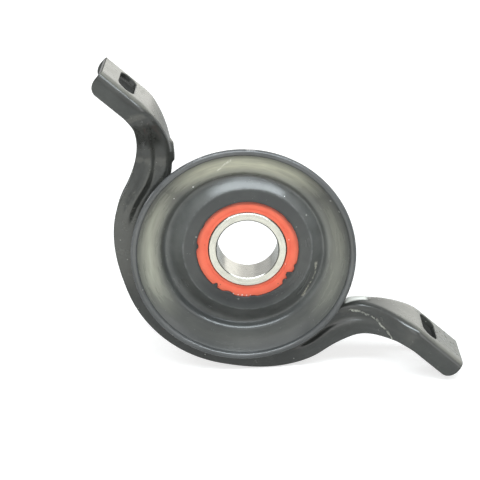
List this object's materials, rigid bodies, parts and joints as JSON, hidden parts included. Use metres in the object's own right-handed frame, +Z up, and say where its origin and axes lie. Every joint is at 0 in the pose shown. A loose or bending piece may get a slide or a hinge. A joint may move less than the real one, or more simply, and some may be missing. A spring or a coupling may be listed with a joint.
{
  "type": "driveshaft centre bearing",
  "caption": "Driveshaft centre bearing: sealed ball bearing in a black rubber cushion and steel ring, cradled by a pressed channel bracket with slotted feet.",
  "frame": {"origin": "centre of the bearing's bore, halfway along the inner ring", "axes": "+Y along the shaft, away from the bead on the steel ring; +Z up, the way the feet's bolting faces look; +X to the right seen from the front"},
  "size_m": [0.2245, 0.0399, 0.1151],
  "materials": {
    "bracket_coat": "semi-gloss black electro-coat",
    "ring_coat": "semi-gloss black electro-coat, worn on the bead",
    "cushion_rubber": "satin black moulded rubber with dust",
    "bearing_steel": "fine-ground bearing steel",
    "ball_steel": "polished steel",
    "cage_steel": "pressed steel",
    "seal_rubber": "matt coral-red moulded rubber",
    "core_steel": "plain steel sheet"
  },
  "bodies": {
    "hanger": {"bracket": "bracket_coat", "outer_ring": "ring_coat", "rubber_cushion": "cushion_rubber", "bearing_outer_ring": "bearing_steel", "front_seal": "seal_rubber", "front_seal_core": "core_steel", "rear_seal": "seal_rubber", "rear_seal_core": "core_steel"},
    "inner_ring": {"bearing_inner_ring": "bearing_steel"},
    "cage": {"cage_front": "cage_steel", "cage_rear": "cage_steel", "cage_rivets": "cage_steel"},
    "ball_01": {"ball_01": "ball_steel"},
    "ball_02": {"ball_02": "ball_steel"},
    "ball_03": {"ball_03": "ball_steel"},
    "ball_04": {"ball_04": "ball_steel"},
    "ball_05": {"ball_05": "ball_steel"},
    "ball_06": {"ball_06": "ball_steel"},
    "ball_07": {"ball_07": "ball_steel"},
    "ball_08": {"ball_08": "ball_steel"},
    "ball_09": {"ball_09": "ball_steel"},
    "ball_10": {"ball_10": "ball_steel"},
    "ball_11": {"ball_11": "ball_steel"}
  },
  "joints": [
    {"name": "inner_ring_spin", "type": "hinge", "parent": "hanger", "child": "inner_ring", "pos_m": [0, 0, 0], "axis": [0, 1, 0], "continuous": true},
    {"name": "cage_spin", "type": "hinge", "parent": "hanger", "child": "cage", "pos_m": [0, 0, 0], "axis": [0, 1, 0], "continuous": true},
    {"name": "ball_01_spin", "type": "hinge", "parent": "cage", "child": "ball_01", "pos_m": [0, 0, 0.02125], "axis": [0, 1, 0], "continuous": true},
    {"name": "ball_02_spin", "type": "hinge", "parent": "cage", "child": "ball_02", "pos_m": [-0.01149, 0, 0.01788], "axis": [0, 1, 0], "continuous": true},
    {"name": "ball_03_spin", "type": "hinge", "parent": "cage", "child": "ball_03", "pos_m": [-0.01933, 0, 0.00883], "axis": [0, 1, 0], "continuous": true},
    {"name": "ball_04_spin", "type": "hinge", "parent": "cage", "child": "ball_04", "pos_m": [-0.02103, 0, -0.00302], "axis": [0, 1, 0], "continuous": true},
    {"name": "ball_05_spin", "type": "hinge", "parent": "cage", "child": "ball_05", "pos_m": [-0.01606, 0, -0.01392], "axis": [0, 1, 0], "continuous": true},
    {"name": "ball_06_spin", "type": "hinge", "parent": "cage", "child": "ball_06", "pos_m": [-0.00599, 0, -0.02039], "axis": [0, 1, 0], "continuous": true},
    {"name": "ball_07_spin", "type": "hinge", "parent": "cage", "child": "ball_07", "pos_m": [0.00599, 0, -0.02039], "axis": [0, 1, 0], "continuous": true},
    {"name": "ball_08_spin", "type": "hinge", "parent": "cage", "child": "ball_08", "pos_m": [0.01606, 0, -0.01392], "axis": [0, 1, 0], "continuous": true},
    {"name": "ball_09_spin", "type": "hinge", "parent": "cage", "child": "ball_09", "pos_m": [0.02103, 0, -0.00302], "axis": [0, 1, 0], "continuous": true},
    {"name": "ball_10_spin", "type": "hinge", "parent": "cage", "child": "ball_10", "pos_m": [0.01933, 0, 0.00883], "axis": [0, 1, 0], "continuous": true},
    {"name": "ball_11_spin", "type": "hinge", "parent": "cage", "child": "ball_11", "pos_m": [0.01149, 0, 0.01788], "axis": [0, 1, 0], "continuous": true}
  ],
  "couplings": [
    {"joint": "cage_spin", "follows": "inner_ring_spin", "ratio": 0.41595},
    {"joint": "ball_01_spin", "follows": "inner_ring_spin", "ratio": -2.8905},
    {"joint": "ball_02_spin", "follows": "inner_ring_spin", "ratio": -2.8905},
    {"joint": "ball_03_spin", "follows": "inner_ring_spin", "ratio": -2.8905},
    {"joint": "ball_04_spin", "follows": "inner_ring_spin", "ratio": -2.8905},
    {"joint": "ball_05_spin", "follows": "inner_ring_spin", "ratio": -2.8905},
    {"joint": "ball_06_spin", "follows": "inner_ring_spin", "ratio": -2.8905},
    {"joint": "ball_07_spin", "follows": "inner_ring_spin", "ratio": -2.8905},
    {"joint": "ball_08_spin", "follows": "inner_ring_spin", "ratio": -2.8905},
    {"joint": "ball_09_spin", "follows": "inner_ring_spin", "ratio": -2.8905},
    {"joint": "ball_10_spin", "follows": "inner_ring_spin", "ratio": -2.8905},
    {"joint": "ball_11_spin", "follows": "inner_ring_spin", "ratio": -2.8905}
  ]
}
